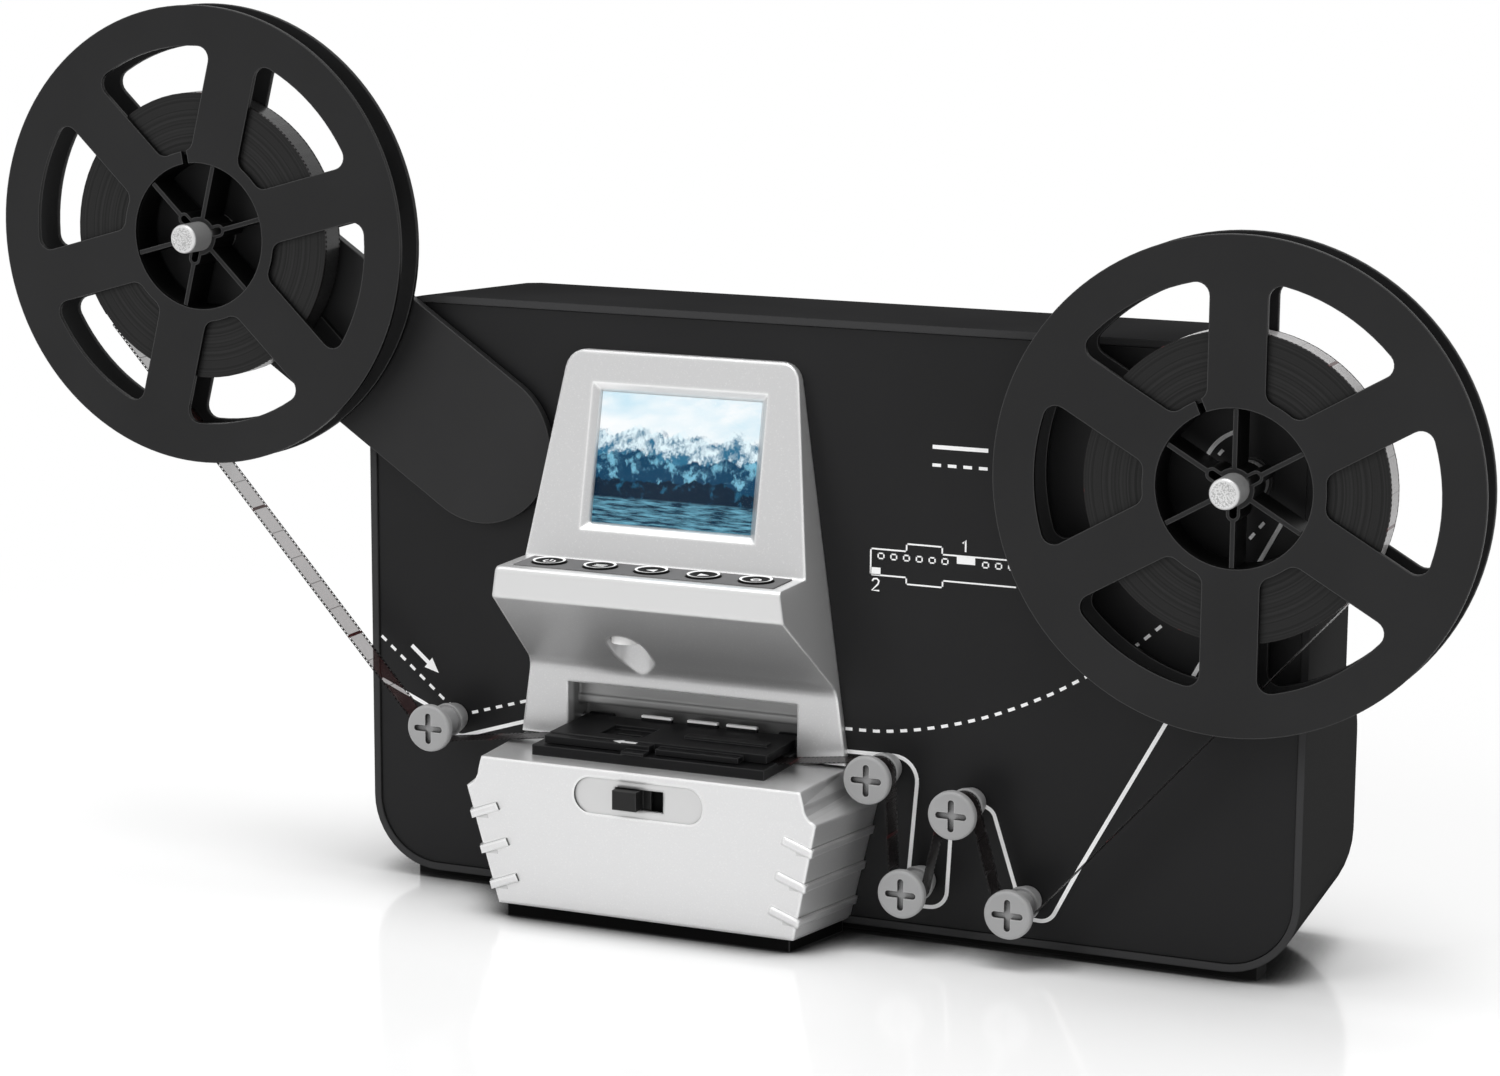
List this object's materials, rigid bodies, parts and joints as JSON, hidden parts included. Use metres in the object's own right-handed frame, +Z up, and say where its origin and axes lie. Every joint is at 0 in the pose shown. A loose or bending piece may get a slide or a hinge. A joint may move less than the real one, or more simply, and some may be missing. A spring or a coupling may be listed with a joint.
{
  "type": "film scanner",
  "caption": "Desktop film scanner: upright case with a tilted screen head, film gate and tray, a swinging supply arm with reel, a driven take-up reel and guide rollers threaded with film.",
  "frame": {"origin": "on the table, under the middle of the case and in the plane of its front rim", "axes": "+X to the right as seen from the front, +Y to the back, +Z up"},
  "size_m": [0.4249, 0.0832, 0.2437],
  "materials": {
    "case_black": "fine moulded texture",
    "panel_black": "smooth matt",
    "silver_paint": "silver paint with fine metallic grain",
    "pale_silver": "pale silver paint with fine metallic grain",
    "reel_black": "smooth satin",
    "arm_black": "smooth satin",
    "gate_black": "matt",
    "knob_black": "satin",
    "button_grey": "satin",
    "strip_grey": "matt",
    "roller_grey": "satin",
    "clear_window": "polished",
    "display": "lit display",
    "foot_rubber": "matt",
    "steel": "bright",
    "zinc_screw": "zinc plated",
    "bearing_brass": "turned",
    "bearing_black": "moulded bearing",
    "board_green": "solder mask",
    "white_plastic": "matt",
    "film_base": "glossy film base",
    "film_roll": "wound film edges",
    "lens_black": "black anodised",
    "unit_grey": "moulded",
    "pulley_cream": "moulded",
    "belt_rubber": "matt",
    "socket_metal": "tinned",
    "jack_black": "moulded"
  },
  "bodies": {
    "case": {"rear_case": "case_black", "front_panel": "panel_black", "panel_screws": "zinc_screw", "feet": "foot_rubber", "head_housing": "silver_paint", "screen_window": "clear_window", "lcd_module": "display", "button_strip": "strip_grey", "button_board": "board_green", "tray_housing": "pale_silver", "tray_base": "case_black", "switch_body": "unit_grey", "gate_base": "gate_black", "gate_pins": "steel", "lamp_diffuser": "white_plastic", "lamp_board": "board_green", "lens_barrel": "lens_black", "sensor_board": "board_green", "pulldown_unit": "unit_grey", "takeup_bush": "bearing_black", "roller_pins": "steel", "film_lead": "film_base", "film_run": "film_base", "main_board": "board_green", "drive_plate": "zinc_screw", "takeup_motor": "zinc_screw", "drive_belt": "belt_rubber", "io_board": "board_green", "power_jack": "jack_black", "usb_port": "socket_metal", "card_slot": "socket_metal"},
    "supply_arm": {"supply_arm": "arm_black", "arm_retainer": "zinc_screw", "arm_screw": "zinc_screw", "supply_bush": "bearing_black"},
    "supply": {"supply_spindle": "steel", "supply_reel": "reel_black", "supply_reel_flange": "reel_black", "supply_film_roll": "film_roll"},
    "takeup": {"takeup_spindle": "steel", "takeup_reel": "reel_black", "takeup_reel_flange": "reel_black", "takeup_film_roll": "film_roll", "takeup_pulley": "pulley_cream"},
    "motor_pulley": {"motor_pulley": "bearing_brass"},
    "gate_cover": {"gate_cover": "gate_black", "gate_marks": "white_plastic"},
    "mode_switch": {"mode_switch": "knob_black"},
    "pulldown_claw": {"pulldown_claw": "steel"},
    "roller_1": {"guide_roller_1": "roller_grey"},
    "roller_2": {"guide_roller_2": "roller_grey"},
    "roller_3": {"guide_roller_3": "roller_grey"},
    "roller_4": {"guide_roller_4": "roller_grey"},
    "roller_5": {"guide_roller_5": "roller_grey"},
    "button_power": {"button_power": "button_grey"},
    "button_menu": {"button_menu": "button_grey"},
    "button_left": {"button_left": "button_grey"},
    "button_right": {"button_right": "button_grey"},
    "button_ok": {"button_ok": "button_grey"}
  },
  "joints": [
    {"name": "takeup_spin", "type": "hinge", "parent": "case", "child": "takeup", "pos_m": [0.118, 0, 0.1318], "axis": [0, -1, 0], "continuous": true},
    {"name": "arm_swing", "type": "hinge", "parent": "case", "child": "supply_arm", "pos_m": [-0.09875, 0, 0.1253], "axis": [0, -1, 0], "range_deg": [0, 65], "deforming": ["film_lead"]},
    {"name": "supply_spin", "type": "hinge", "parent": "supply_arm", "child": "supply", "pos_m": [-0.1799, 0, 0.18024], "axis": [0, -1, 0], "continuous": true},
    {"name": "roller_1_spin", "type": "hinge", "parent": "case", "child": "roller_1", "pos_m": [-0.10885, 0, 0.0476], "axis": [0, -1, 0], "continuous": true},
    {"name": "roller_2_spin", "type": "hinge", "parent": "case", "child": "roller_2", "pos_m": [0.0212, 0, 0.0469], "axis": [0, -1, 0], "continuous": true},
    {"name": "roller_3_spin", "type": "hinge", "parent": "case", "child": "roller_3", "pos_m": [0.0313, 0, 0.0171], "axis": [0, -1, 0], "continuous": true},
    {"name": "roller_4_spin", "type": "hinge", "parent": "case", "child": "roller_4", "pos_m": [0.0451, 0, 0.04], "axis": [0, -1, 0], "continuous": true},
    {"name": "roller_5_spin", "type": "hinge", "parent": "case", "child": "roller_5", "pos_m": [0.0611, 0, 0.0151], "axis": [0, -1, 0], "continuous": true},
    {"name": "motor_spin", "type": "hinge", "parent": "case", "child": "motor_pulley", "pos_m": [0.074, 0, 0.1318], "axis": [0, -1, 0], "continuous": true},
    {"name": "gate_open", "type": "hinge", "parent": "case", "child": "gate_cover", "pos_m": [-0.0385, 0.008, 0.04975], "axis": [-1, 0, 0], "range_deg": [0, 40]},
    {"name": "mode_slide", "type": "slide", "parent": "case", "child": "mode_switch", "axis": [1, 0, 0], "range_m": [0, 0.0065]},
    {"name": "claw_stroke", "type": "slide", "parent": "case", "child": "pulldown_claw", "axis": [1, 0, 0], "range_m": [-0.0021, 0.0021]},
    {"name": "press_power", "type": "slide", "parent": "case", "child": "button_power", "axis": [0, 0, -1], "range_m": [0, 0.0006], "stiffness_N_per_m": 800},
    {"name": "press_menu", "type": "slide", "parent": "case", "child": "button_menu", "axis": [0, 0, -1], "range_m": [0, 0.0006], "stiffness_N_per_m": 800},
    {"name": "press_left", "type": "slide", "parent": "case", "child": "button_left", "axis": [0, 0, -1], "range_m": [0, 0.0006], "stiffness_N_per_m": 800},
    {"name": "press_right", "type": "slide", "parent": "case", "child": "button_right", "axis": [0, 0, -1], "range_m": [0, 0.0006], "stiffness_N_per_m": 800},
    {"name": "press_ok", "type": "slide", "parent": "case", "child": "button_ok", "axis": [0, 0, -1], "range_m": [0, 0.0006], "stiffness_N_per_m": 800}
  ],
  "couplings": [
    {"joint": "supply_spin", "follows": "takeup_spin", "ratio": 1},
    {"joint": "roller_1_spin", "follows": "takeup_spin", "ratio": 9.2558},
    {"joint": "roller_2_spin", "follows": "takeup_spin", "ratio": -9.2558},
    {"joint": "roller_3_spin", "follows": "takeup_spin", "ratio": 9.2558},
    {"joint": "roller_4_spin", "follows": "takeup_spin", "ratio": -9.2558},
    {"joint": "roller_5_spin", "follows": "takeup_spin", "ratio": 9.2558},
    {"joint": "motor_spin", "follows": "takeup_spin", "ratio": 2.8293}
  ]
}
